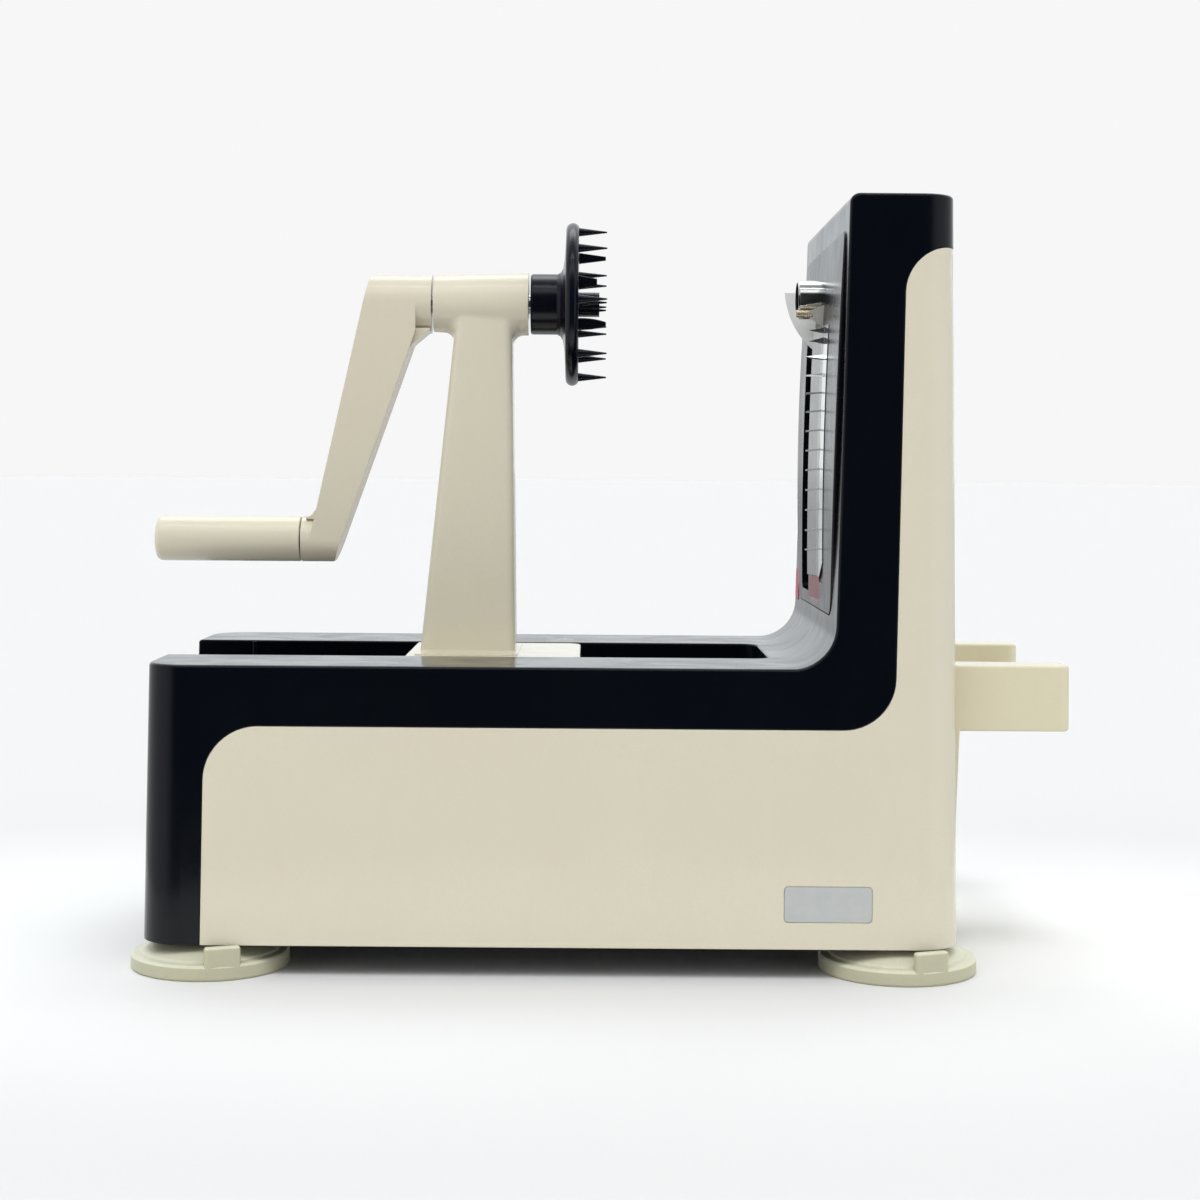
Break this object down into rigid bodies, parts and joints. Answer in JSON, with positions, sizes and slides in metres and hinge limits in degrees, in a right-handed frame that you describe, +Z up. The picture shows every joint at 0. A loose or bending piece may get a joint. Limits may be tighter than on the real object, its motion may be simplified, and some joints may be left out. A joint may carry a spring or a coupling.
{
  "type": "spiralizer with crank",
  "caption": "Crank-turned vegetable spiralizer: L-shaped casing on suction feet, sliding crank sled with a prong disc, upright blade insert and a rear handle.",
  "frame": {"origin": "centre of the bounding box at the table plane, under the feet", "axes": "+X from the crank grip towards the blade tower and rear handle, along the crank axis; +Y across the machine; +Z up"},
  "size_m": [0.3622, 0.178, 0.2946],
  "materials": {
    "dark_plastic": "moulded navy black plastic, satin to gloss",
    "dark_plastic_inner": "moulded dark plastic, matt",
    "cream_plastic": "moulded cream plastic, satin",
    "soft_foot": "soft translucent PVC, pale greenish cream",
    "polished_steel": "polished stainless steel",
    "zinc_steel": "zinc-plated steel",
    "brass_pin": "plain brass",
    "bush_nylon": "natural nylon",
    "plate_foil": "satin grey-blue foil, bare",
    "red_mark": "red paint"
  },
  "bodies": {
    "casing": {"upper_casing": "dark_plastic", "lower_casing": "cream_plastic", "base_plate": "dark_plastic_inner", "casing_screws": "zinc_steel", "name_plate": "plate_foil", "rear_handle": "cream_plastic", "handle_screws": "zinc_steel", "blade_frame": "dark_plastic", "coring_tube": "polished_steel", "core_pin": "brass_pin", "core_fin": "polished_steel", "comb_blade": "polished_steel", "coring_teeth": "polished_steel", "slicing_blade": "polished_steel", "align_marks": "red_mark", "suction_foot_front_near": "soft_foot", "suction_foot_front_far": "soft_foot", "suction_foot_rear_near": "soft_foot", "suction_foot_rear_far": "soft_foot"},
    "sled": {"sled_plate": "cream_plastic", "crank_post": "cream_plastic", "sled_screws": "zinc_steel", "shaft_bush_crank_side": "bush_nylon", "shaft_bush_disc_side": "bush_nylon"},
    "crank": {"crank_shaft": "polished_steel", "crank_arm": "cream_plastic", "crank_arm_cover": "cream_plastic", "grip_pin": "polished_steel", "prong_disc": "dark_plastic"},
    "grip": {"handle_grip": "cream_plastic", "grip_cap": "cream_plastic"}
  },
  "joints": [
    {"name": "sled_slide", "type": "slide", "parent": "casing", "child": "sled", "axis": [1, 0, 0], "range_m": [-0.068, 0.072]},
    {"name": "crank_turn", "type": "hinge", "parent": "sled", "child": "crank", "pos_m": [-0.04915, 0, 0.2579], "axis": [1, 0, 0], "continuous": true},
    {"name": "grip_spin", "type": "hinge", "parent": "crank", "child": "grip", "pos_m": [-0.15115, 0, 0.1609], "axis": [1, 0, 0], "continuous": true}
  ]
}
